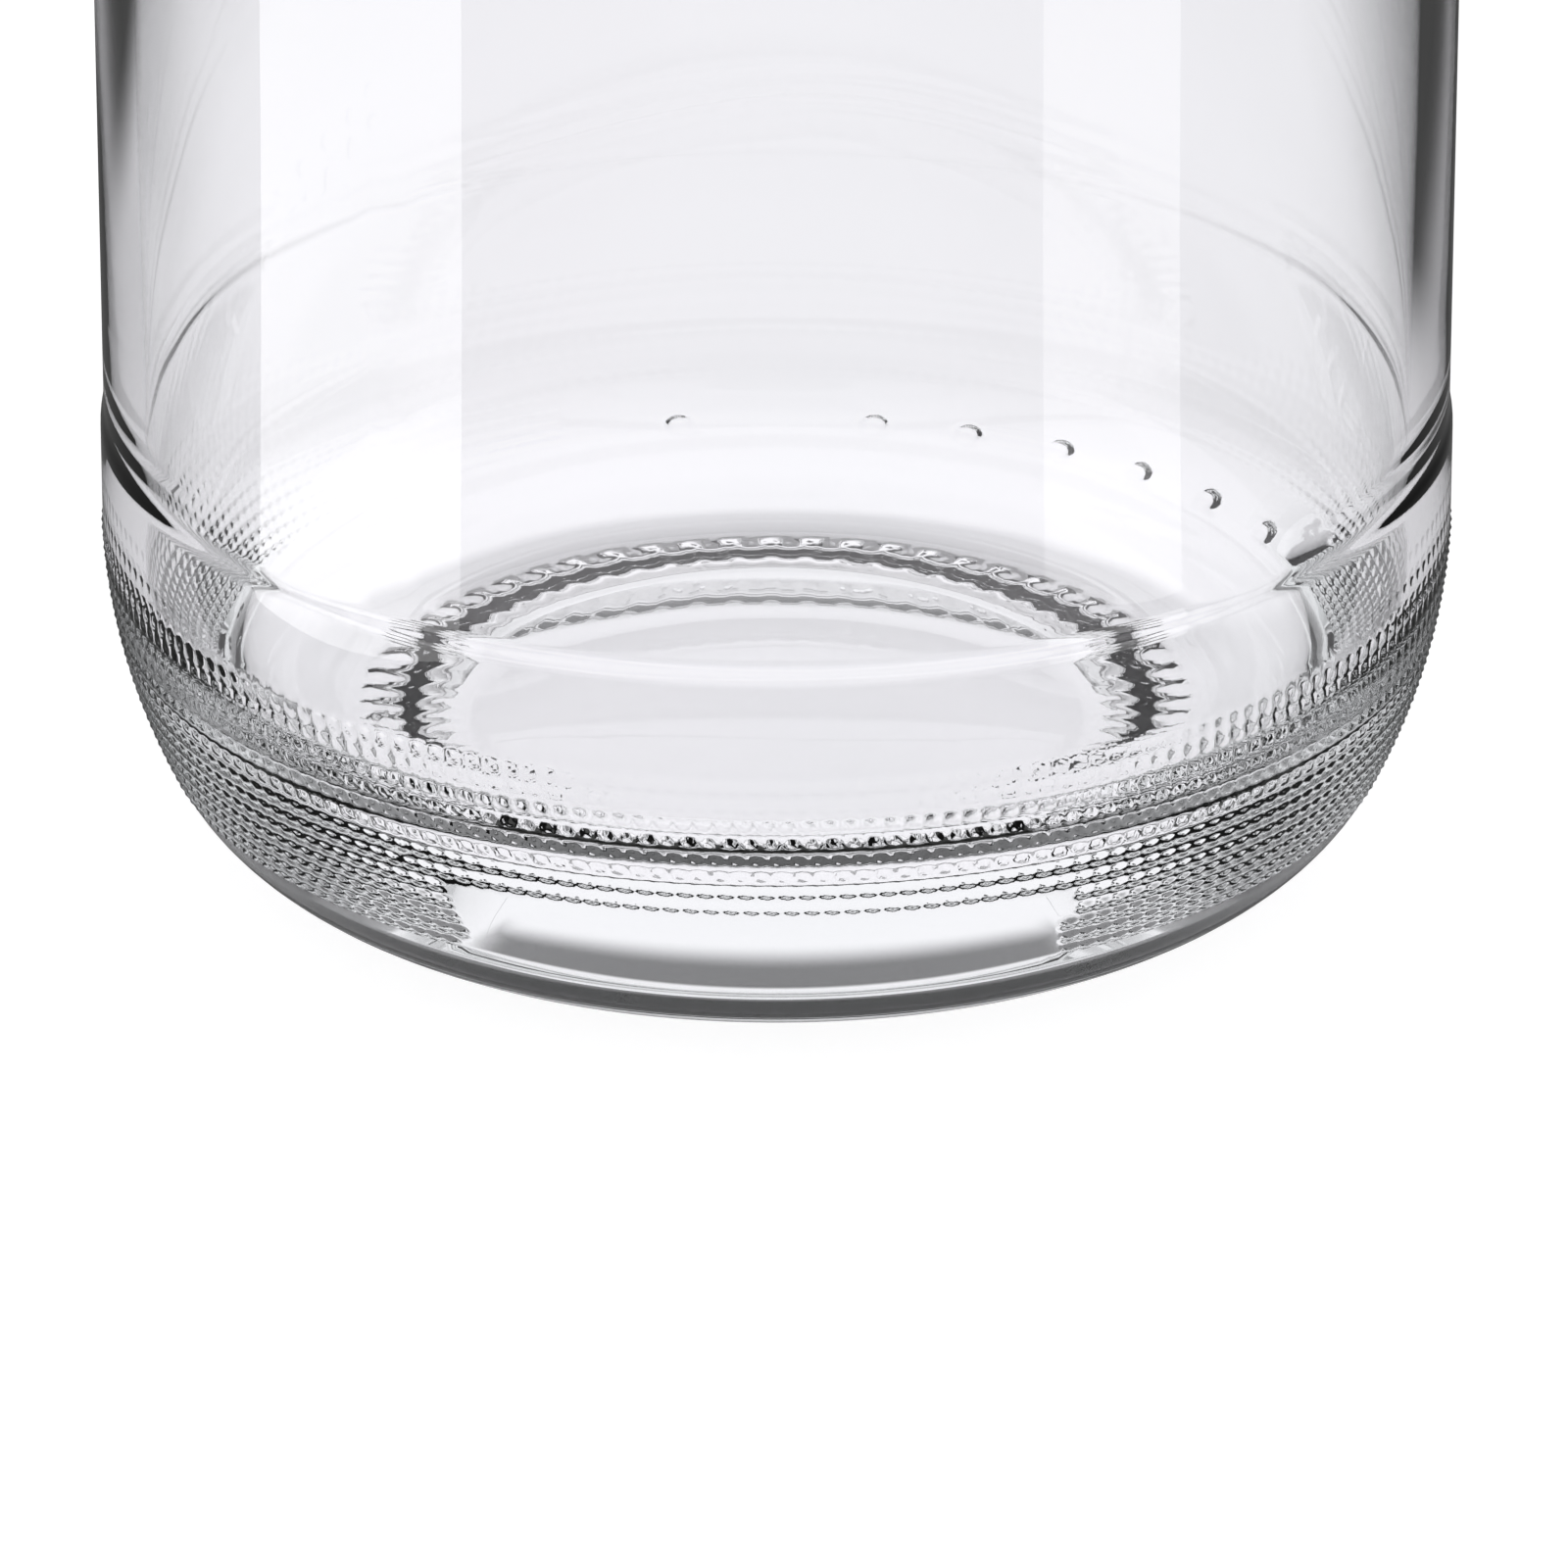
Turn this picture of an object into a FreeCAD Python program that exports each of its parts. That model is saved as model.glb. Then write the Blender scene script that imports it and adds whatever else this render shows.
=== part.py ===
import FreeCAD, Part
import math
import os

# Glass milk bottle with a twist-off lug lid. Lengths are in millimetres and angles in degrees.
# The bottle's axis is Z. The origin is the centre of the base, on the surface that the bottle stands on.

# Body: a recessed label panel between a heel band and a shoulder band
body_radius = 44.0
wall = 2.7
panel_recess = 0.23
panel_height = 125.1
panel_edge_radius = 4.0
shoulder_band = 6.0

# Heel: two tangent arcs from the bearing ring up to the straight heel band
heel_lower_radius = 11.6
heel_upper_radius = 38.5
heel_slope = 25.9
heel_band = 5.3

# Base: a flat bearing ring round a push-up with a flat top
bearing_width = 2.2
push_up = 3.5
push_up_edge_radius = 3.0
push_up_root_radius = 6.0

# Inside of the base: a thick floor, dished towards the axis, and the rounded corner up to the wall
floor_thickness = 6.5
floor_dish_radius = 210.0
inner_corner_radius = 9.5

# Shoulder and neck
shoulder_radius = 46.0
neck_sweep_radius = 58.0
neck_height = 13.0

# Finish: the transfer bead, the wall that carries the ramps, and the rounded rim
finish_radius = 21.9
finish_wall = 2.9
finish_height = 12.5
neck_step = 1.5
bead_depth = 1.6
bead_flat = 1.4
bead_lower_radius = 1.6
bead_upper_radius = 2.4
mouth_edge_radius = 6.0

# Ramps on the finish that draw the lid down, one for each lug of the lid
lug_count = 4
ramp_lead = 14.0
ramp_span = 72.0
ramp_height = 1.4
ramp_root_width = 2.0
ramp_crest_width = 1.0
ramp_below_rim = 6.4
ramp_bite = 0.4

# Lid: a pressed shell with a rolled lower edge, and lugs pushed inwards from that roll
sheet = 0.3
lid_corner_radius = 2.2
lid_panel_sink = 0.6
lid_panel_edge_radius = 0.9
lid_panel_margin = 0.9
curl_diameter = 1.5
curl_turn = 290.0
curl_gap = 0.3
lid_lug_span = 14.0
lid_lug_thickness = 0.8
lid_lug_gap = 0.45
lid_lug_play = 0.15
lid_lug_bite = 0.18
closed_turn = 20.0

# Gasket: a flat ring in the top of the lid, on the rim of the bottle
gasket_thickness = 1.2
gasket_overhang = 0.6
gasket_edge_radius = 0.4
seat_gap = 0.05

full_turn = 360.0
axis_point = FreeCAD.Vector(0, 0, 0)
axis = FreeCAD.Vector(0, 0, 1)


class Outline:
    """A half section in the XZ plane, drawn as a path of lines and tangent arcs."""

    def __init__(self, radius, level, heading):
        self.radius = radius
        self.level = level
        self.heading = math.radians(heading)
        self.edges = []

    def point(self):
        return FreeCAD.Vector(self.radius, 0, self.level)

    def offset(self, forward, left):
        """The point that lies so far ahead and to the left of the path's end."""
        along = FreeCAD.Vector(math.cos(self.heading), 0, math.sin(self.heading))
        across = FreeCAD.Vector(-along.z, 0, along.x)
        return self.point() + along * forward + across * left

    def go(self, edge, end):
        self.edges.append(edge)
        self.radius = end.x
        self.level = end.z

    def ahead(self, length):
        end = self.offset(length, 0)
        self.go(Part.LineSegment(self.point(), end).toShape(), end)

    def corner(self, degrees):
        self.heading += math.radians(degrees)

    def bend(self, arc_radius, degrees):
        """A tangent arc, to the left for a positive angle and to the right for a negative one."""
        turn = math.radians(abs(degrees))
        side = math.copysign(arc_radius, degrees)
        middle = self.offset(arc_radius * math.sin(turn / 2), side * (1 - math.cos(turn / 2)))
        end = self.offset(arc_radius * math.sin(turn), side * (1 - math.cos(turn)))
        self.go(Part.Arc(self.point(), middle, end).toShape(), end)
        self.corner(degrees)

    def jog(self, shift, first_radius, second_radius):
        """Two arcs that move the path sideways, left if positive, and keep its heading."""
        turn = jog_angle(shift, first_radius + second_radius)
        self.bend(first_radius, turn)
        self.bend(second_radius, -turn)

    def wire(self):
        return Part.Wire(self.edges)

    def face(self):
        """The section inside the path, closed by a straight line where its ends lie apart."""
        start = self.edges[0].Vertexes[0].Point
        if start.isEqual(self.point(), 1e-6):
            return Part.Face(self.wire())
        closing = Part.LineSegment(self.point(), start).toShape()
        return Part.Face(Part.Wire(self.edges + [closing]))


def jog_angle(shift, radii):
    return math.copysign(math.degrees(math.acos(1 - abs(shift) / radii)), shift)


def jog_length(shift, radii):
    return radii * math.sin(math.radians(abs(jog_angle(shift, radii))))


def corner_run(lower_radius, upper_radius, slope):
    """Width of a rounded corner of two tangent arcs that meet at a slope from the vertical."""
    return upper_radius + (lower_radius - upper_radius) * math.cos(math.radians(slope))


def corner_rise(lower_radius, upper_radius, slope):
    return lower_radius + (upper_radius - lower_radius) * math.sin(math.radians(slope))


def revolve(face, degrees=full_turn):
    return face.revolve(axis_point, axis, degrees)


def lug_pattern(shape, middle_angle, span):
    """Copies of a shape that starts on the X axis, one for each lug, evenly round the axis."""
    copies = []
    for index in range(lug_count):
        copy = shape.copy()
        copy.rotate(axis_point, axis, middle_angle - span / 2 + index * full_turn / lug_count)
        copies.append(copy)
    return copies


# Radii that follow from the sizes above
bearing_outer = body_radius - corner_run(heel_lower_radius, heel_upper_radius, heel_slope)
bearing_inner = bearing_outer - bearing_width
inner_radius = body_radius - wall
neck_radius = finish_radius + neck_step
neck_inner = neck_radius - wall
bead_radius = neck_radius + bead_depth
mouth_radius = finish_radius - finish_wall
rim_radius = finish_wall / 2
ramp_radius = finish_radius + ramp_height

# Levels up the bottle
floor_level = push_up + floor_thickness
dish_spread = floor_dish_radius - inner_corner_radius
floor_tilt = math.degrees(math.asin((inner_radius - inner_corner_radius) / dish_spread))
inner_corner_level = floor_level + floor_dish_radius - dish_spread * math.cos(math.radians(floor_tilt))
heel_level = corner_rise(heel_lower_radius, heel_upper_radius, heel_slope)
panel_edge = jog_length(panel_recess, 2 * panel_edge_radius)
shoulder_level = heel_level + heel_band + panel_edge + panel_height + panel_edge + shoulder_band
neck_level = shoulder_level + jog_length(body_radius - neck_radius, shoulder_radius + neck_sweep_radius)
bead_level = neck_level + neck_height + jog_length(bead_depth, 2 * bead_lower_radius)
finish_level = bead_level + bead_flat + jog_length(bead_radius - finish_radius, 2 * bead_upper_radius)
rim_level = finish_level + finish_height
ramp_level = rim_level - ramp_below_rim

# The lid hangs on the rim and reaches under the ramps
lid_radius = ramp_radius + curl_gap + curl_diameter
lid_underside = rim_level + gasket_thickness + 2 * seat_gap
lid_top = lid_underside + sheet
lug_tilt = ramp_lead * lid_lug_span / 2 / full_turn
closed_drop = ramp_lead * closed_turn / full_turn
lid_lug_top = ramp_level - closed_drop - ramp_root_width / 2 - lug_tilt - lid_lug_play
lid_bottom = lid_lug_top - (curl_diameter + lid_lug_thickness) / 2
gasket_inner = mouth_radius - gasket_overhang
gasket_outer = lid_radius - lid_corner_radius


def bottle_section():
    outline = Outline(0, push_up, 0)
    flank_run = jog_length(push_up, push_up_edge_radius + push_up_root_radius)
    outline.ahead(bearing_inner - flank_run)
    outline.jog(-push_up, push_up_root_radius, push_up_edge_radius)
    outline.ahead(bearing_width)

    # Up the outside, from the bearing ring to the rim
    outline.bend(heel_lower_radius, 90 - heel_slope)
    outline.bend(heel_upper_radius, heel_slope)
    outline.ahead(heel_band)
    outline.jog(panel_recess, panel_edge_radius, panel_edge_radius)
    outline.ahead(panel_height)
    outline.jog(-panel_recess, panel_edge_radius, panel_edge_radius)
    outline.ahead(shoulder_band)
    outline.jog(body_radius - neck_radius, shoulder_radius, neck_sweep_radius)
    outline.ahead(neck_height)
    outline.jog(-bead_depth, bead_lower_radius, bead_lower_radius)
    outline.ahead(bead_flat)
    outline.jog(bead_radius - finish_radius, bead_upper_radius, bead_upper_radius)
    outline.ahead(finish_height - rim_radius)
    outline.bend(rim_radius, 180)

    # Down the inside, from the mouth to the floor
    outline.ahead(finish_height - rim_radius)
    outline.jog(neck_inner - mouth_radius, mouth_edge_radius, mouth_edge_radius)
    outline.ahead(outline.level - neck_level)
    outline.jog(inner_radius - neck_inner, neck_sweep_radius + wall, shoulder_radius - wall)
    outline.ahead(outline.level - inner_corner_level)
    outline.bend(inner_corner_radius, floor_tilt - 90)
    outline.bend(floor_dish_radius, -floor_tilt)
    return outline.face()


def ramp():
    """One ridge of the multi-start screw that the lid turns on, swept along its helix."""
    rise = ramp_lead * ramp_span / full_turn
    start = ramp_level - rise / 2
    helix = Part.makeHelix(ramp_lead, rise, finish_radius)
    helix.translate(FreeCAD.Vector(0, 0, start))
    root = finish_radius - ramp_bite
    corners = [
        FreeCAD.Vector(root, 0, start - ramp_root_width / 2),
        FreeCAD.Vector(ramp_radius, 0, start - ramp_crest_width / 2),
        FreeCAD.Vector(ramp_radius, 0, start + ramp_crest_width / 2),
        FreeCAD.Vector(root, 0, start + ramp_root_width / 2),
    ]
    section = Part.makePolygon(corners + corners[:1])
    return Part.Wire(helix.Edges).makePipeShell([section], True, True)


def glass_bottle():
    body = revolve(bottle_section())
    return body.fuse(lug_pattern(ramp(), 0, ramp_span)).removeSplitter()


def lid_path():
    """The outer face of the pressed sheet, from the centre of the lid to the end of the roll."""
    panel_run = jog_length(lid_panel_sink, 2 * lid_panel_edge_radius)
    panel_radius = gasket_inner - lid_panel_margin - panel_run
    outline = Outline(0, lid_top - lid_panel_sink, 0)
    outline.ahead(panel_radius)
    outline.jog(lid_panel_sink, lid_panel_edge_radius, lid_panel_edge_radius)
    outline.ahead(lid_radius - lid_corner_radius - outline.radius)
    outline.bend(lid_corner_radius, -90)
    outline.ahead(outline.level - lid_bottom - curl_diameter / 2)
    outline.bend(curl_diameter / 2, -curl_turn)
    return outline.wire()


def lid_lug():
    """A stretch of the roll pushed inwards, with a rounded nose and a flat upper face."""
    nose = lid_lug_thickness / 2
    outer = lid_radius - curl_diameter + lid_lug_bite
    depth = outer - finish_radius - lid_lug_gap - nose
    outline = Outline(outer, lid_lug_top - lid_lug_thickness, 90)
    outline.ahead(lid_lug_thickness)
    outline.corner(90)
    outline.ahead(depth)
    outline.bend(nose, 180)
    outline.ahead(depth)
    return revolve(outline.face(), lid_lug_span)


def lid_shell():
    section = lid_path().makeOffset2D(-sheet, fill=True, openResult=True)
    return revolve(section).fuse(lug_pattern(lid_lug(), -closed_turn, lid_lug_span)).removeSplitter()


def lid_gasket():
    width = gasket_outer - gasket_inner
    straight_side = gasket_thickness - gasket_edge_radius
    outline = Outline(gasket_inner + gasket_edge_radius, rim_level + seat_gap, 0)
    outline.ahead(width - 2 * gasket_edge_radius)
    outline.bend(gasket_edge_radius, 90)
    outline.ahead(straight_side)
    outline.corner(90)
    outline.ahead(width)
    outline.corner(90)
    outline.ahead(straight_side)
    outline.bend(gasket_edge_radius, 90)
    return revolve(outline.face())


os.makedirs("parts", exist_ok=True)
for piece in (glass_bottle, lid_shell, lid_gasket):
    shape = piece()
    shape.exportStep("parts/" + piece.__name__ + ".step")
    print(piece.__name__, shape.isValid(), len(shape.Solids), "solid", round(shape.Volume), "mm3")
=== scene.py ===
import bpy
import math
import numpy as np
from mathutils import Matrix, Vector


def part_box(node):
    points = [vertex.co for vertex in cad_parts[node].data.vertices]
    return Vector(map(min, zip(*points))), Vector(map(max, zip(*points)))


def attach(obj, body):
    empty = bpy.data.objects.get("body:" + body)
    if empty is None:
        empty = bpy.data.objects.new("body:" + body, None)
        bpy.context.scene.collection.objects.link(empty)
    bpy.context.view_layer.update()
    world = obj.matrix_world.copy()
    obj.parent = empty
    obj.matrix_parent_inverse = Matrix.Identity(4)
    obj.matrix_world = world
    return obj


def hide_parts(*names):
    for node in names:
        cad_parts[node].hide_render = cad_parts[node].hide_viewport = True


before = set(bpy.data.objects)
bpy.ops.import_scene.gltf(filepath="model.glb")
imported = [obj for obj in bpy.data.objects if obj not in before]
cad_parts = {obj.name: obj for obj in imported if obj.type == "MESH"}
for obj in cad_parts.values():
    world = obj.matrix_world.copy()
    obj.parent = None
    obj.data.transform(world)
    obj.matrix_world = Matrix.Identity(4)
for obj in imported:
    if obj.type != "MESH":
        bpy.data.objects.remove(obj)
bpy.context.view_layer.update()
fullTurn = 2 * math.pi
hair = 1e-6   # lengths that differ by less count as equal
levelHair = 1e-7   # the same for the two ends of a level edge
seedSize = 0.001   # a new piece is drawn from the middle of a plane of this size
leastWeight = 0.001   # smaller weights leave the surface alone
white = (1, 1, 1, 1)


# Small helpers for working on one piece at a time

def startPiece(name):
    bpy.ops.object.select_all(action="DESELECT")
    bpy.ops.mesh.primitive_plane_add(size=seedSize)
    piece = bpy.context.object
    piece.name = name
    piece.data.name = name
    return piece


class Outline:
    # a half section beside the Z axis, walked in straight runs and tangent arcs

    def __init__(self, radius, height, heading):
        self.points = [Vector((radius, 0, height))]
        self.heading = math.radians(heading)
        self.marks = {}

    def place(self, forward, left):
        along = Vector((math.cos(self.heading), 0, math.sin(self.heading)))
        across = Vector((-along.z, 0, along.x))
        return self.points[-1] + along * forward + across * left

    def mark(self, name):
        self.marks[name] = self.points[-1]

    def ahead(self, length, steps=1):
        self.points += [self.place(length * step / steps, 0) for step in range(1, steps + 1)]

    def bend(self, radius, degrees, steps):
        side = math.copysign(radius, degrees)
        turns = [math.radians(abs(degrees)) * step / steps for step in range(1, steps + 1)]
        self.points += [self.place(radius * math.sin(t), side * (1 - math.cos(t))) for t in turns]
        self.heading += math.radians(degrees)

    def jog(self, shift, first, second, steps):
        turn = math.copysign(math.degrees(math.acos(1 - abs(shift) / (first + second))), shift)
        self.bend(first, turn, steps)
        self.bend(second, -turn, steps)


def drawOutline(points):
    bpy.ops.object.mode_set(mode="EDIT")
    bpy.ops.mesh.select_mode(type="VERT")
    bpy.ops.mesh.select_all(action="SELECT")
    bpy.ops.mesh.merge(type="CENTER")
    bpy.ops.transform.translate(value=points[0])
    for before, after in zip(points, points[1:]):
        bpy.ops.mesh.extrude_region_move(TRANSFORM_OT_translate={"value": after - before})
    bpy.ops.object.mode_set(mode="OBJECT")


def turnRound(steps):
    bpy.ops.object.mode_set(mode="EDIT")
    bpy.ops.mesh.select_all(action="SELECT")
    bpy.ops.mesh.spin(steps=steps, angle=fullTurn, center=(0, 0, 0), axis=(0, 0, 1))
    bpy.ops.mesh.select_all(action="SELECT")
    bpy.ops.mesh.remove_doubles(threshold=hair)
    bpy.ops.mesh.normals_make_consistent(inside=False)
    bpy.ops.object.mode_set(mode="OBJECT")


def vertexPlaces(piece):
    # distance from the axis, angle from the front towards +X, and height of every vertex
    places = np.empty(len(piece.data.vertices) * 3)
    piece.data.vertices.foreach_get("co", places)
    x, y, z = places.reshape(-1, 3).T
    return np.hypot(x, y), np.arctan2(x, -y) % fullTurn, z


def angleFrom(angle, middle):
    # signed angle from a middle given in degrees
    return (angle - math.radians(middle) + math.pi) % fullTurn - math.pi


def splitColumns(piece, inZone, cuts):
    # cuts the level edges of the rings whose vertices lie in a zone, which makes the columns there finer
    radius, angle, height = vertexPlaces(piece)
    mesh = piece.data
    ends = np.empty(len(mesh.edges) * 2, int)
    mesh.edges.foreach_get("vertices", ends)
    a, b = ends.reshape(-1, 2).T
    level = (np.abs(height[a] - height[b]) < levelHair) & (np.abs(radius[a] - radius[b]) < levelHair)
    wanted = inZone(radius, height)
    mesh.polygons.foreach_set("select", np.zeros(len(mesh.polygons), bool))
    mesh.vertices.foreach_set("select", np.zeros(len(mesh.vertices), bool))
    mesh.edges.foreach_set("select", level & wanted[a] & wanted[b])
    bpy.context.tool_settings.mesh_select_mode = (False, True, False)
    bpy.ops.object.mode_set(mode="EDIT")
    bpy.ops.mesh.subdivide(number_cuts=cuts, smoothness=1.0)
    bpy.ops.object.mode_set(mode="OBJECT")


def pressOut(piece, weights, height, texture=None):
    # moves the surface along its normals, by the full height where the weight is 1
    group = piece.vertex_groups.new(name="press")
    for index in np.flatnonzero(weights > leastWeight):
        group.add([int(index)], float(weights[index]), "REPLACE")
    press = piece.modifiers.new("press", "DISPLACE")
    press.vertex_group = group.name
    press.strength = height
    press.mid_level = 0.5 if texture else 0.0
    if texture:
        press.texture = texture
        press.texture_coords = "LOCAL"
    bpy.ops.object.modifier_apply(modifier=press.name)
    piece.vertex_groups.clear()


def fade(values, start, end):
    # 0 before start, 1 after end, and a soft step between them
    t = np.clip((values - start) / (end - start), 0, 1)
    return t * t * (3 - 2 * t)


# The glass bottle: lengths in metres, angles in degrees from the front towards +X

bottle = {
    "bodyRadius": 0.0440, "wall": 0.0027,
    "panelRecess": 0.00023, "panelHeight": 0.1251, "panelEdge": 0.0040, "shoulderBand": 0.0060,
    "heelLower": 0.0116, "heelUpper": 0.0385, "heelSlope": 25.9, "heelBand": 0.0053,
    "bearingWidth": 0.0022, "pushUp": 0.0035, "pushUpEdge": 0.0030, "pushUpRoot": 0.0060,
    "floorHeight": 0.0100, "floorDish": 0.2100, "innerCorner": 0.0095,
    "shoulderRadius": 0.0460, "neckSweep": 0.0580, "neckHeight": 0.0130,
    "finishRadius": 0.0219, "finishWall": 0.0029, "finishHeight": 0.0125, "neckStep": 0.0015,
    "beadDepth": 0.0016, "beadFlat": 0.0014, "beadLower": 0.0016, "beadUpper": 0.0024,
    "mouthEdge": 0.0060, "columns": 210, "heelRings": 54, "settleTop": 0.0375, "settleBottom": 0.0285,
    "stipple": {
        "rows": 13, "topRing": 49, "ringsPerRow": 4, "cuts": 3, "rise": 0.00013, "edge": 0.0001,
        "beside": 0.40, "above": 0.12, "backShare": 0.3, "backStart": (90, 115),
        "bareRows": 5, "bareMiddles": (-1.5, 155), "bareHalfWidths": (28, 47),
    },
    "knurl": {"count": 60, "cuts": 1, "notch": 3, "depth": 0.00018, "inner": 0.0225, "outer": 0.0282},
    "mouldDots": {
        "angles": (120, 130, 140, 150, 160, 170, 190),
        "height": 0.0076, "radius": 0.00105, "rise": 0.00045,
    },
    "mouldSeams": {"angles": (-34, 146), "rise": 0.00003},
    "settleWave": {
        "level": 0.0316, "peak": 0.0030, "peakAngle": 175, "peakWidth": 24,
        "width": 0.00055, "rise": 0.00011, "ends": (75, 130),
    },
    "ripple": {"size": 0.022, "height": 0.00010},
    "ramps": {
        "count": 4, "first": 90, "lead": 0.0140, "span": 72, "height": 0.0014,
        "rootWidth": 0.0020, "crestWidth": 0.0010, "belowRim": 0.0064, "endFade": 3,
    },
}


def cornerRun(lower, upper, slope):
    return upper + (lower - upper) * math.cos(math.radians(slope))


def jogRun(shift, radii):
    return radii * math.sin(math.acos(1 - shift / radii))


def dishedFloor(innerRadius):
    # slope of the dished floor where it meets the corner arc, and the level where that arc meets the wall
    b = bottle
    spread = b["floorDish"] - b["innerCorner"]
    tilt = math.asin((innerRadius - b["innerCorner"]) / spread)
    return math.degrees(tilt), b["floorHeight"] + b["floorDish"] - spread * math.cos(tilt)


def bottleOutline():
    b = bottle
    bearingOuter = b["bodyRadius"] - cornerRun(b["heelLower"], b["heelUpper"], b["heelSlope"])
    bearingInner = bearingOuter - b["bearingWidth"]
    flank = jogRun(b["pushUp"], b["pushUpEdge"] + b["pushUpRoot"])
    neckRadius = b["finishRadius"] + b["neckStep"]
    neckInner = neckRadius - b["wall"]
    beadRadius = neckRadius + b["beadDepth"]
    mouthRadius = b["finishRadius"] - b["finishWall"]
    innerRadius = b["bodyRadius"] - b["wall"]
    line = Outline(0, b["pushUp"], 0)
    line.ahead(bearingInner - flank, 3)
    line.jog(-b["pushUp"], b["pushUpRoot"], b["pushUpEdge"], 6)
    line.ahead(b["bearingWidth"], 4)
    line.bend(b["heelLower"], 90 - b["heelSlope"], 16)
    line.mark("heelStart")
    line.bend(b["heelUpper"], b["heelSlope"], b["heelRings"])
    line.mark("heelEnd")
    line.ahead(b["heelBand"], 3)
    line.jog(b["panelRecess"], b["panelEdge"], b["panelEdge"], 5)
    line.ahead(b["panelHeight"], 5)
    line.jog(-b["panelRecess"], b["panelEdge"], b["panelEdge"], 4)
    line.ahead(b["shoulderBand"], 2)
    line.jog(b["bodyRadius"] - neckRadius, b["shoulderRadius"], b["neckSweep"], 9)
    neckHeight = line.points[-1].z
    line.ahead(b["neckHeight"], 2)
    line.jog(-b["beadDepth"], b["beadLower"], b["beadLower"], 5)
    line.ahead(b["beadFlat"], 1)
    line.jog(beadRadius - b["finishRadius"], b["beadUpper"], b["beadUpper"], 6)
    line.mark("finishStart")
    line.ahead(b["finishHeight"] - b["finishWall"] / 2, 22)
    line.mark("finishEnd")
    line.bend(b["finishWall"] / 2, 180, 12)
    line.ahead(b["finishHeight"] - b["finishWall"] / 2, 3)
    line.jog(neckInner - mouthRadius, b["mouthEdge"], b["mouthEdge"], 4)
    line.ahead(line.points[-1].z - neckHeight, 2)
    line.jog(innerRadius - neckInner, b["neckSweep"] + b["wall"], b["shoulderRadius"] - b["wall"], 9)
    line.mark("wallTop")
    tilt, cornerHeight = dishedFloor(innerRadius)
    line.ahead(line.points[-1].z - b["settleTop"], 6)
    line.ahead(b["settleTop"] - b["settleBottom"], 24)   # fine rings for the settle wave
    line.ahead(b["settleBottom"] - cornerHeight, 4)
    line.mark("wallBottom")
    line.bend(b["innerCorner"], tilt - 90, 16)
    line.bend(b["floorDish"], -tilt, 8)
    return line


def addStipple(piece, line):
    # rows of low dots on the heel, on a grid that drifts sideways from row to row
    s = bottle["stipple"]
    low, high = line.marks["heelStart"], line.marks["heelEnd"]

    def onHeel(radius, height):
        # the inner corner at these heights is in the zone too, and two of its rings get dots
        return (height > low.z - hair) & (height < high.z + hair) & (radius > low.x - s["edge"])

    splitColumns(piece, onHeel, s["cuts"])
    radius, angle, height = vertexPlaces(piece)
    slope = np.degrees(np.arcsin(np.clip((high.z - height) / bottle["heelUpper"], 0, 1)))
    ring = np.rint((1 - slope / bottle["heelSlope"]) * bottle["heelRings"]).astype(int)
    perDot = s["cuts"] + 1
    column = np.rint(angle / fullTurn * bottle["columns"] * perDot).astype(int)
    row = (s["topRing"] + s["ringsPerRow"] // 2 - ring) // s["ringsPerRow"]
    up = s["topRing"] - ring - row * s["ringsPerRow"]
    across = (column - row + perDot // 2) % perDot - perDot // 2
    dotAngle = (column - across) / (bottle["columns"] * perDot) * fullTurn
    used = onHeel(radius, height) & (row >= 0) & (row < s["rows"])
    for middle, halfWidth in zip(s["bareMiddles"], s["bareHalfWidths"]):
        inWindow = np.abs(angleFrom(dotAngle, middle)) < math.radians(halfWidth)
        used &= ~(inWindow & (row >= s["rows"] - s["bareRows"]))
    dots = np.array([1, s["beside"], 0])[np.abs(across)] * np.array([1, s["above"], 0])[np.abs(up)]
    turnedAway = fade(np.degrees(np.abs(angleFrom(dotAngle, 0))), *s["backStart"])
    lower = 1 - (1 - s["backShare"]) * turnedAway   # the dots get lower towards the back
    pressOut(piece, np.where(used, dots * lower, 0), s["rise"])


def addKnurl(piece):
    # shallow notches across the inner edge of the ring that the bottle stands on
    k = bottle["knurl"]

    def onEdge(radius, height):
        return (height < bottle["pushUp"]) & (radius > k["inner"]) & (radius < k["outer"])

    splitColumns(piece, onEdge, k["cuts"])
    radius, angle, height = vertexPlaces(piece)
    segments = bottle["columns"] * (k["cuts"] + 1)
    column = np.rint(angle / fullTurn * segments).astype(int)
    notched = column % (segments // k["count"]) < k["notch"]
    pressOut(piece, (onEdge(radius, height) & notched).astype(float), -k["depth"])


def addMouldMarks(piece):
    # a row of plain dots low on the back of the heel, and the two seams that the mould halves leave
    dots, seams = bottle["mouldDots"], bottle["mouldSeams"]
    radius, angle, height = vertexPlaces(piece)
    domes = np.zeros(len(radius))
    for middle in dots["angles"]:
        across = angleFrom(angle, middle) * radius
        distance = np.hypot(across, height - dots["height"]) / dots["radius"]
        domes = np.maximum(domes, np.sqrt(np.clip(1 - distance ** 2, 0, 1)))
    pressOut(piece, domes, dots["rise"])
    outside = radius > bottle["bodyRadius"] - bottle["wall"] / 2
    halfColumn = math.pi / bottle["columns"]
    for middle in seams["angles"]:
        onSeam = outside & (np.abs(angleFrom(angle, middle)) < halfColumn)
        pressOut(piece, onSeam.astype(float), seams["rise"])


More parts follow.
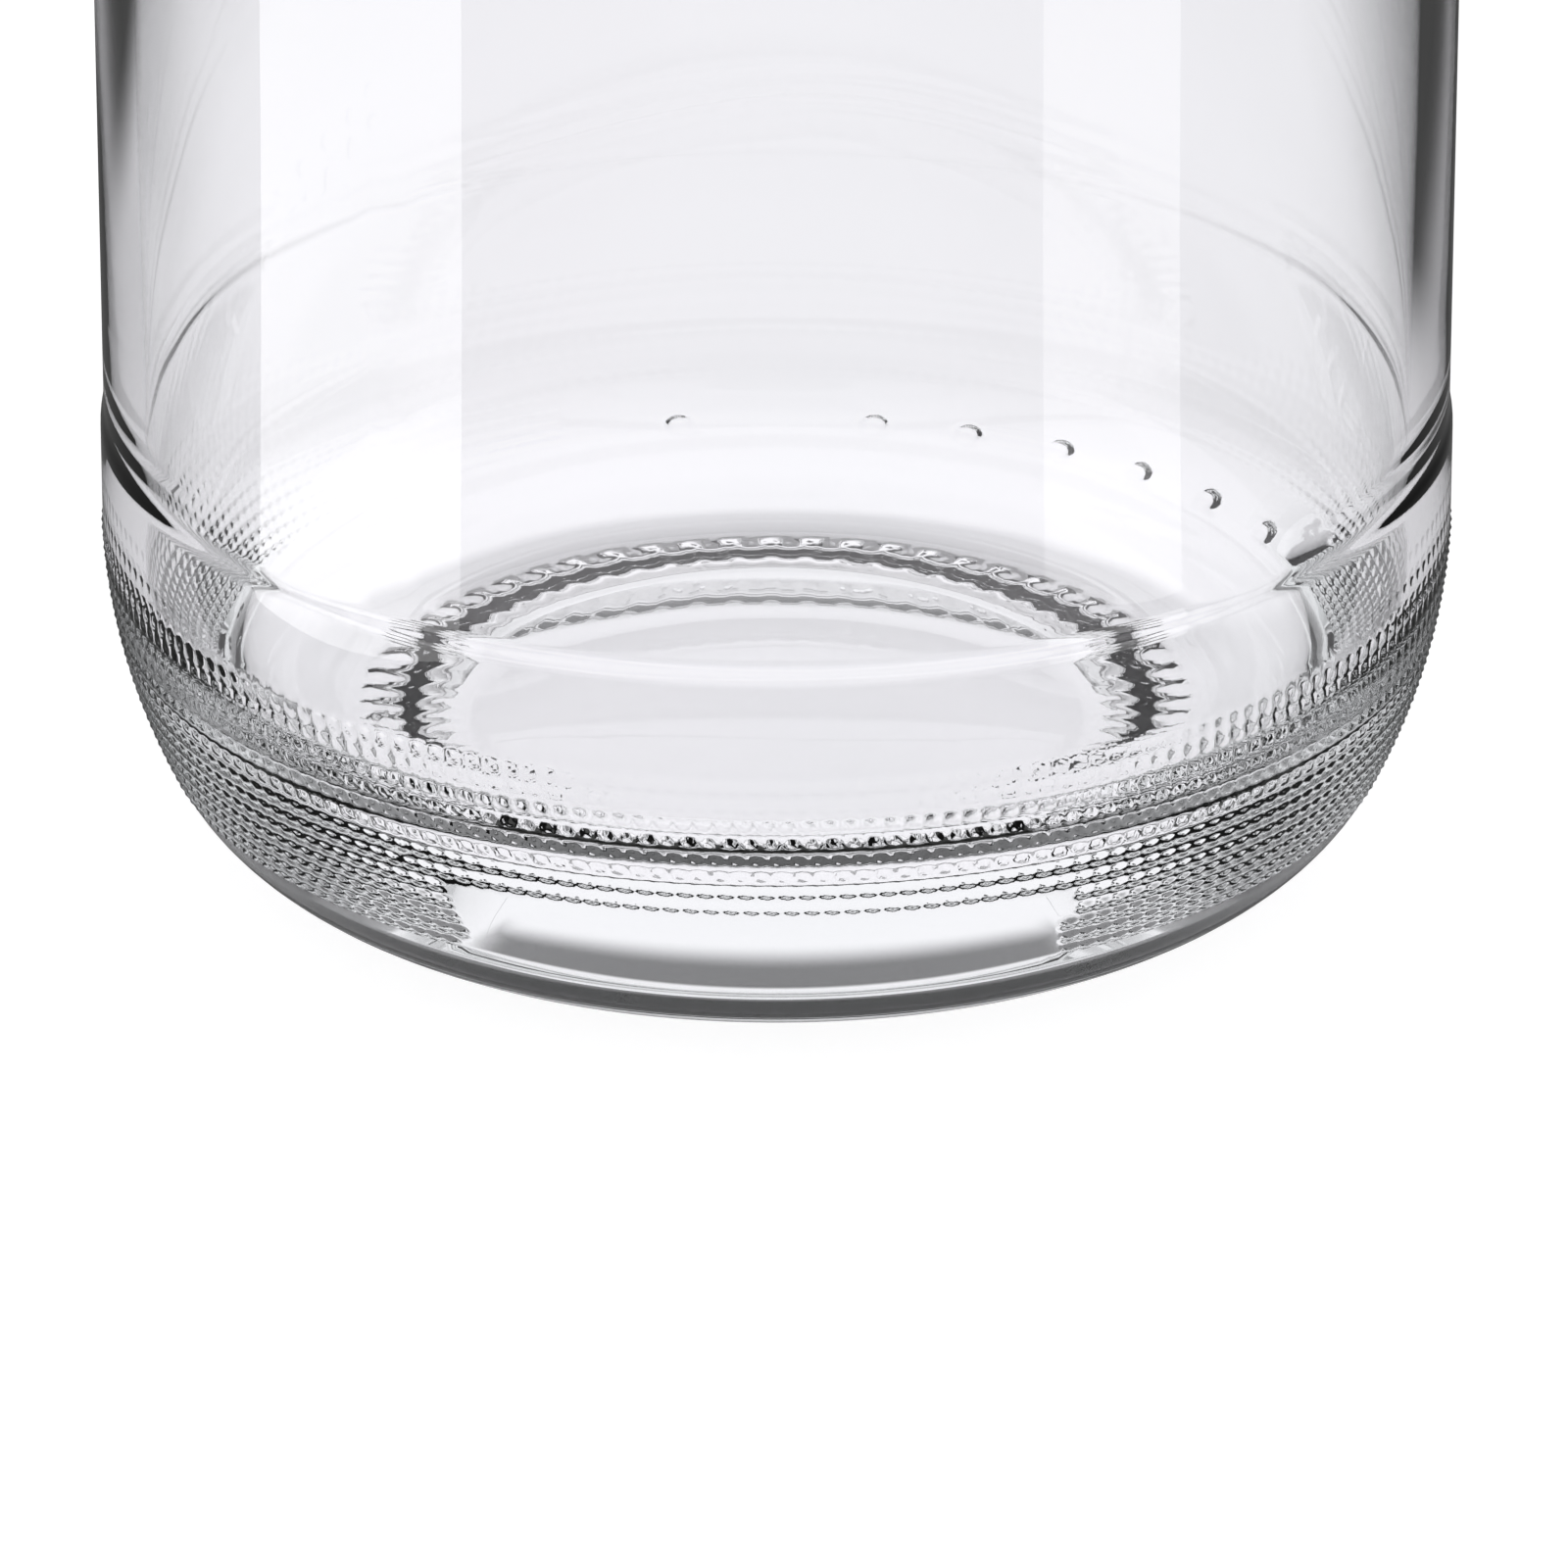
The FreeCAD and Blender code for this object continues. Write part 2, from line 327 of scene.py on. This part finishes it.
def addSettleWave(piece, line):
    # the soft ridge on the inside of the wall, where the blown glass met the chilled base
    w = bottle["settleWave"]
    radius, angle, height = vertexPlaces(piece)
    low, high = line.marks["wallBottom"].z, line.marks["wallTop"].z
    inner = bottle["bodyRadius"] - bottle["wall"]
    onWall = (np.abs(radius - inner) < hair) & (height > low) & (height < high)
    turn = np.degrees(angleFrom(angle, w["peakAngle"]))
    level = w["level"] + w["peak"] * np.exp(-(turn / w["peakWidth"]) ** 2)
    ridge = np.exp(-((height - level) / w["width"]) ** 2) * (1 - fade(np.abs(turn), *w["ends"]))
    pressOut(piece, np.where(onWall, ridge, 0), w["rise"])
    texture = bpy.data.textures.new("wallRipple", "CLOUDS")
    texture.noise_scale = bottle["ripple"]["size"]
    swell = fade(height, low, bottle["settleTop"])
    pressOut(piece, np.where(onWall, swell, 0), bottle["ripple"]["height"], texture)


def addRamps(piece, line):
    # the screw ridges on the finish that the lid's lugs run under
    r = bottle["ramps"]
    radius, angle, height = vertexPlaces(piece)
    low, high = line.marks["finishStart"].z, line.marks["finishEnd"].z
    onFinish = (np.abs(radius - bottle["finishRadius"]) < hair) & (height > low) & (height < high)
    rim = high + bottle["finishWall"] / 2
    halfSpan = r["span"] / 2
    flank = (r["rootWidth"] - r["crestWidth"]) / 2
    weights = np.zeros(len(radius))
    for number in range(r["count"]):
        turn = np.degrees(angleFrom(angle, r["first"] + 360 / r["count"] * number))
        offRidge = np.abs(height - (rim - r["belowRim"] + r["lead"] * turn / 360))
        side = 1 - np.clip((offRidge - r["crestWidth"] / 2) / flank, 0, 1)
        along = 1 - fade(np.abs(turn), halfSpan - r["endFade"], halfSpan)
        weights = np.maximum(weights, side * along)
    pressOut(piece, np.where(onFinish, weights, 0), r["height"])


def makeBottle():
    line = bottleOutline()
    piece = startPiece("bottle_glass")
    drawOutline(line.points)
    turnRound(bottle["columns"])
    print("bottle turned:", len(piece.data.polygons), "faces")
    addStipple(piece, line)
    print("heel stippled:", len(piece.data.polygons), "faces")
    addKnurl(piece)
    addMouldMarks(piece)
    addSettleWave(piece, line)
    addRamps(piece, line)
    bpy.ops.object.shade_smooth()
    piece.data.calc_loop_triangles()
    print("bottle finished:", len(piece.data.loop_triangles), "triangles")
    return piece


bottlePiece = makeBottle()
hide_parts("glass_bottle")
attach(bottlePiece, "bottle")


# Shader maths written as plain expressions

class Wire:
    # a socket's value: each operator on it adds the Math node that it needs

    def __init__(self, shader, socket):
        self.shader = shader
        self.socket = socket

    def math(self, operation, first, second):
        return self.shader.node("ShaderNodeMath", {"operation": operation}, {0: first, 1: second})

    def __add__(self, other):
        return self.math("ADD", self, other)

    def __radd__(self, other):
        return self.math("ADD", other, self)

    def __sub__(self, other):
        return self.math("SUBTRACT", self, other)

    def __rsub__(self, other):
        return self.math("SUBTRACT", other, self)

    def __mul__(self, other):
        return self.math("MULTIPLY", self, other)

    def __rmul__(self, other):
        return self.math("MULTIPLY", other, self)

    def highest(self, other):
        return self.math("MAXIMUM", self, other)

    def size(self):
        return self.math("ABSOLUTE", self, 0)


class Shader:
    # the node tree of a material or of the world

    def __init__(self, owner, output="ShaderNodeOutputMaterial"):
        owner.use_nodes = True
        self.owner = owner
        self.tree = owner.node_tree
        self.tree.nodes.clear()
        self.output = self.tree.nodes.new(output)

    def node(self, kind, settings=None, inputs=None, output=0):
        node = self.tree.nodes.new(kind)
        for name, value in (settings or {}).items():
            setattr(node, name, value)
        for name, value in (inputs or {}).items():
            self.feed(node.inputs[name], value)
        return Wire(self, node.outputs[output])

    def feed(self, socket, value):
        if isinstance(value, Wire):
            self.tree.links.new(value.socket, socket)
        else:
            socket.default_value = value

    def place(self):
        return self.node("ShaderNodeTexCoord", output="Object")

    def axis(self, vector, name):
        return self.node("ShaderNodeSeparateXYZ", {}, {0: vector}, name)

    def length(self, vector):
        return self.node("ShaderNodeVectorMath", {"operation": "LENGTH"}, {0: vector}, "Value")

    def blend(self, factor, first, second):
        # sockets 6, 7 and output 2 of the Mix node are its colours
        return self.node("ShaderNodeMix", {"data_type": "RGBA"}, {0: factor, 6: first, 7: second}, 2)

    def noise(self, place, scale, detail=2.0):
        return self.node("ShaderNodeTexNoise", {}, {"Vector": place, "Scale": scale, "Detail": detail})

    def step(self, value, start, end):
        # 0 before start and 1 after end, with a soft step between them
        span = {"Value": value, "From Min": start, "From Max": end}
        return self.node("ShaderNodeMapRange", {"interpolation_type": "SMOOTHSTEP"}, span)

    def bump(self, height, depth, strength):
        return self.node("ShaderNodeBump", {}, {"Height": height, "Distance": depth, "Strength": strength})

    def glow(self, strength, colour=white):
        return self.node("ShaderNodeEmission", {}, {"Color": colour, "Strength": strength})

    def end(self, **wires):
        for name, wire in wires.items():
            self.feed(self.output.inputs[name], wire)
        return self.owner


# Finishes of the pieces

glassSettings = {
    "tint": (0.84, 0.87, 0.855, 1), "density": 12.0, "ior": 1.52,
    "clear": (1.0, 1.0, 1.0, 1), "streak": (0.975, 0.985, 0.98, 1),
    "streakScale": 45.0, "streakStretch": 0.12,
    "skinScale": 220.0, "skinDepth": 0.000002, "skinStrength": 0.5, "skinRoughness": 0.004,
}
lidSettings = {
    "pale": (0.68, 0.68, 0.665, 1), "grey": (0.52, 0.52, 0.51, 1), "worn": (0.80, 0.795, 0.78, 1),
    "clouds": 70.0, "fine": 900.0, "rings": 420.0, "ringWobble": 0.6,
    "ringDepth": 0.000006, "ringStrength": 0.6, "fineShare": 2,
    "curl": (0.0004, 0.0022), "scuffs": (0.46, 0.60),
    "roughness": 0.24, "cloudRoughness": 0.12, "wornRoughness": 0.18, "coat": 0.5, "coatRoughness": 0.12,
}
gasketSettings = {
    "pale": (0.84, 0.83, 0.79, 1), "dull": (0.76, 0.75, 0.70, 1), "clouds": 160.0,
    "grain": 1500.0, "grainDepth": 0.00002, "grainStrength": 0.5, "roughness": 0.62, "grainRoughness": 0.2,
}


def glassFinish():
    g = glassSettings
    shader = Shader(bpy.data.materials.new("clearGlass"))
    place = shader.place()
    upwards = {"Vector": place, "Scale": (1, 1, g["streakStretch"])}   # the streaks run upwards
    streak = shader.noise(shader.node("ShaderNodeMapping", {}, upwards), g["streakScale"])
    skin = shader.noise(place, g["skinScale"], 1.0)
    surface = shader.node("ShaderNodeBsdfPrincipled", {}, {
        "Base Color": shader.blend(streak, g["clear"], g["streak"]), "Roughness": skin * g["skinRoughness"],
        "IOR": g["ior"], "Transmission Weight": 1.0,
        "Normal": shader.bump(skin, g["skinDepth"], g["skinStrength"])})
    inside = shader.node("ShaderNodeVolumeAbsorption", {}, {"Color": g["tint"], "Density": g["density"]})
    return shader.end(Surface=surface, Volume=inside)


def lidFinish():
    s = lidSettings
    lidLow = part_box("lid_shell")[0][2]
    curlStart, curlEnd = [lidLow + height for height in s["curl"]]
    shader = Shader(bpy.data.materials.new("lacqueredTinplate"))
    place = shader.place()
    cloud = shader.noise(place, s["clouds"], 4.0)
    fine = shader.noise(place, s["fine"], 3.0)
    rings = shader.node("ShaderNodeTexWave", {"wave_type": "RINGS", "rings_direction": "Z"},
                        {"Vector": place, "Scale": s["rings"], "Distortion": s["ringWobble"]}, "Fac")
    onCurl = 1 - shader.step(shader.axis(place, "Z"), curlStart, curlEnd)
    worn = onCurl * shader.step(fine, *s["scuffs"])
    colour = shader.blend(cloud, s["pale"], s["grey"])
    surface = shader.node("ShaderNodeBsdfPrincipled", {}, {
        "Base Color": shader.blend(worn, colour, s["worn"]), "Metallic": 1.0,
        "Roughness": s["roughness"] + cloud * s["cloudRoughness"] + worn * s["wornRoughness"],
        "Coat Weight": s["coat"] - worn * s["coat"], "Coat Roughness": s["coatRoughness"],
        "Normal": shader.bump(rings + fine * s["fineShare"], s["ringDepth"], s["ringStrength"])})
    return shader.end(Surface=surface)


def gasketFinish():
    s = gasketSettings
    shader = Shader(bpy.data.materials.new("sealingCompound"))
    place = shader.place()
    cloud = shader.noise(place, s["clouds"], 3.0)
    grain = shader.noise(place, s["grain"], 2.0)
    surface = shader.node("ShaderNodeBsdfPrincipled", {}, {
        "Base Color": shader.blend(cloud, s["pale"], s["dull"]),
        "Roughness": s["roughness"] + grain * s["grainRoughness"],
        "Normal": shader.bump(grain, s["grainDepth"], s["grainStrength"])})
    return shader.end(Surface=surface)


bottlePiece.data.materials.append(glassFinish())
for nodeName, finish in (("lid_shell", lidFinish()), ("lid_gasket", gasketFinish())):
    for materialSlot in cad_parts[nodeName].material_slots:
        materialSlot.material = finish
print("finishes made")


# Camera at the photograph's angle

cameraSettings = {
    "target": (0, 0, 0.00175), "distance": 0.880, "elevation": 24.95,
    "lens": 306.2, "sensor": 36, "shift": 0.0047, "nearest": 0.01,
}


def makeCamera():
    c = cameraSettings
    tilt = math.radians(c["elevation"])
    back = Vector((0, -math.cos(tilt), math.sin(tilt)))
    bpy.ops.object.camera_add(location=Vector(c["target"]) + back * c["distance"])
    camera = bpy.context.object
    camera.rotation_euler = (math.pi / 2 - tilt, 0, 0)
    camera.data.lens = c["lens"]
    camera.data.sensor_width = c["sensor"]
    camera.data.shift_x = c["shift"]
    camera.data.clip_start = c["nearest"]
    bpy.context.scene.camera = camera
    return camera


studioCamera = makeCamera()


# Floor, cards and light

# these numbers include painted light and shade: a painted pool of light and a painted shadow in the floor's
# glow, painted shade in the floor's reflection and at the sides, and bright painted reflections
studio = {
    "floorSize": 12, "floorDrop": 0.0002, "floorColour": (0.3, 0.3, 0.305, 1), "floorWhite": 0.88,
    "floorInGlass": 0.755, "glassHue": (0.97, 0.95, 1.0, 1), "paintedPool": 0.28, "paintedPoolEnd": (0.030, 0.065),
    "shadeInner": (0.0265, 0.0280), "shadeOuter": (0.0325, 0.0345),
    "shadeBack": (0.004, 0.020), "shade": 0.30,
    "reflectionShadeNear": 0.12, "reflectionShadeFar": 0.9, "reflectionShadeFade": (0.3, 1.2),
    "sideSize": (0.9, 0.6), "sideAcross": (0.048, 0.103), "sideGrey": 0.06,
    "sideFront": (0.065, 0.095), "sideSlant": 0.2, "sideNear": 0.25, "sideBack": (0.20, 0.28),
    "leftBand": ((-0.0740, -0.0768), (-0.203, -0.1752), (-0.250, -0.0075), (-0.097, -0.0192)),
    "rightBand": ((0.074, -0.096), (0.175, -0.201), (0.240, -0.112), (0.096, -0.058)),
    "leftGlow": 2.3, "rightGlow": 1.6,
}
# the room as the glass shows it, by the sine of the height: a white foot, dark walls, white light and a
# grey ceiling. Only the glass sees these bands, while one plain level lights the object, so they are
# painted reflection and painted shade
room = {
    "level": 0.72, "white": 1.18, "hue": (0.98, 0.95, 1.0, 1),
    "wallFoot": (0.07, 0.105), "wallTop": (0.425, 0.470), "wallSpread": 0.45, "wallSide": (-0.35, -0.05),
    "wall": 0.80, "wallLow": (0.34, 0.40), "wallDark": 0.16, "ceiling": (0.77, 0.82), "ceilingShade": 0.35,
}


def rayKind(shader, name):
    return shader.node("ShaderNodeLightPath", output=name)


def seenInGlass(shader):
    # 1 for what glass and metal show, 0 for what lights the object
    return rayKind(shader, "Is Glossy Ray").highest(rayKind(shader, "Is Transmission Ray"))


def showOnlyTo(card, *kinds):
    for kind in ("camera", "diffuse", "glossy", "transmission", "shadow"):
        setattr(card, "visible_" + kind, kind in kinds)


def followCamera(card):
    # the cards stand round the camera, so they turn about the bottle with it
    turn = card.constraints.new("COPY_ROTATION")
    turn.target = studioCamera
    turn.use_x = False
    turn.use_y = False


def makeFloor():
    bpy.ops.mesh.primitive_plane_add(size=studio["floorSize"], location=(0, 0, -studio["floorDrop"]))
    floor = bpy.context.object
    floor.name = "floor"
    shader = Shader(bpy.data.materials.new("paleFloor"))
    seen = seenInGlass(shader)
    lit = shader.node("ShaderNodeBsdfDiffuse", {}, {"Color": studio["floorColour"]})
    place = shader.place()
    distance = shader.length(place)
    ring = shader.step(distance, *studio["shadeInner"])
    ring = ring * (1 - shader.step(distance, *studio["shadeOuter"]))
    shade = ring * shader.step(shader.axis(place, "Y"), *studio["shadeBack"])   # painted shadow in the floor's glow, under the back of the heel
    # painted light: the floor's glow, as the glass shows it, is raised under and near the bottle
    paintedPool = 1 + studio["paintedPool"] * (1 - shader.step(distance, *studio["paintedPoolEnd"]))
    inGlass = studio["floorInGlass"] * paintedPool * (1 - studio["shade"] * shade)
    strength = rayKind(shader, "Is Camera Ray") * studio["floorWhite"] + seen * inGlass
    glow = shader.glow(strength, shader.blend(seen, white, studio["glassHue"]))
    surface = shader.node("ShaderNodeAddShader", {}, {0: lit, 1: glow})
    floor.data.materials.append(shader.end(Surface=surface))


def makeReflectionShade():
    # painted shade: a glowing sheet seen only in reflections, so what the outside of the bottle mirrors of
    # the floor is grey nearby and paler far off
    bpy.ops.mesh.primitive_plane_add(size=studio["floorSize"], location=(0, 0, -studio["floorDrop"] / 2))
    shadeSheet = bpy.context.object
    shadeSheet.name = "reflection_shade_sheet"
    shader = Shader(bpy.data.materials.new("paintedReflectionShade"))
    far = shader.step(shader.length(shader.place()), *studio["reflectionShadeFade"])
    strength = studio["reflectionShadeNear"] + far * (studio["reflectionShadeFar"] - studio["reflectionShadeNear"])
    shadeSheet.data.materials.append(shader.end(Surface=shader.glow(strength)))
    showOnlyTo(shadeSheet, "glossy")


def makeSideCards():
    # painted shade: dark on both sides of the bottle, fading in from the middle and out towards the back,
    # seen only in and through the glass and casting no shadow
    bpy.ops.mesh.primitive_plane_add(size=1)
    card = bpy.context.object
    card.name = "side_cards"
    card.scale = (*studio["sideSize"], 1)
    bpy.ops.object.transform_apply(scale=True)
    shader = Shader(bpy.data.materials.new("paintedShadeCard"))
    place = shader.place()
    across, along = shader.axis(place, "X"), shader.axis(place, "Y")
    behind = shader.step(along + across * studio["sideSlant"], *studio["sideFront"])
    depth = studio["sideNear"] + behind * (1 - studio["sideNear"])
    depth = depth * (1 - shader.step(along, *studio["sideBack"]))
    mask = shader.step(across.size(), *studio["sideAcross"]) * depth
    clear = shader.node("ShaderNodeBsdfTransparent")
    dark = shader.glow(studio["sideGrey"])
    surface = shader.node("ShaderNodeMixShader", {}, {0: mask, 1: clear, 2: dark})
    card.data.materials.append(shader.end(Surface=surface))
    showOnlyTo(card, "glossy", "transmission")
    followCamera(card)


def makeBandCard(name, corners, strength):
    # a bright card on the floor that the outside of the bottle mirrors as an upright band; it shows only in
    # reflections and lights nothing, so the band is a painted reflection
    card = startPiece(name)
    drawOutline([Vector((x, y, studio["floorDrop"])) for x, y in corners])
    bpy.ops.object.mode_set(mode="EDIT")
    bpy.ops.mesh.select_all(action="SELECT")
    bpy.ops.mesh.edge_face_add()
    bpy.ops.object.mode_set(mode="OBJECT")
    shader = Shader(bpy.data.materials.new("paintedReflectionCard"))
    card.data.materials.append(shader.end(Surface=shader.glow(strength)))
    showOnlyTo(card, "glossy")
    followCamera(card)


def makeRoom():
    world = bpy.data.worlds.new("studio")
    bpy.context.scene.world = world
    shader = Shader(world, "ShaderNodeOutputWorld")
    direction = shader.node("ShaderNodeTexCoord", output="Generated")
    across, depth, height = [shader.axis(direction, name) for name in "XYZ"]
    overWall = shader.step(height - across * across * room["wallSpread"], *room["wallTop"])
    wall = shader.step(height, *room["wallFoot"]) * (1 - overWall) * shader.step(depth, *room["wallSide"])
    dark = room["wall"] + room["wallDark"] * (1 - shader.step(height, *room["wallLow"]))
    ceiling = room["ceilingShade"] * shader.step(height, *room["ceiling"])
    bands = room["white"] * (1 - dark * wall) * (1 - ceiling)
    camera = rayKind(shader, "Is Camera Ray")
    seen = seenInGlass(shader)
    strength = camera + (1 - camera) * (seen * bands + (1 - seen) * room["level"])
    hue = shader.blend(seen, white, room["hue"])
    shader.end(Surface=shader.node("ShaderNodeBackground", {}, {"Color": hue, "Strength": strength}))


makeFloor()
makeSideCards()
makeBandCard("left_band", studio["leftBand"], studio["leftGlow"])
makeBandCard("right_band", studio["rightBand"], studio["rightGlow"])
makeReflectionShade()
makeRoom()
bpy.context.scene.view_settings.view_transform = "Standard"
print("stage set")
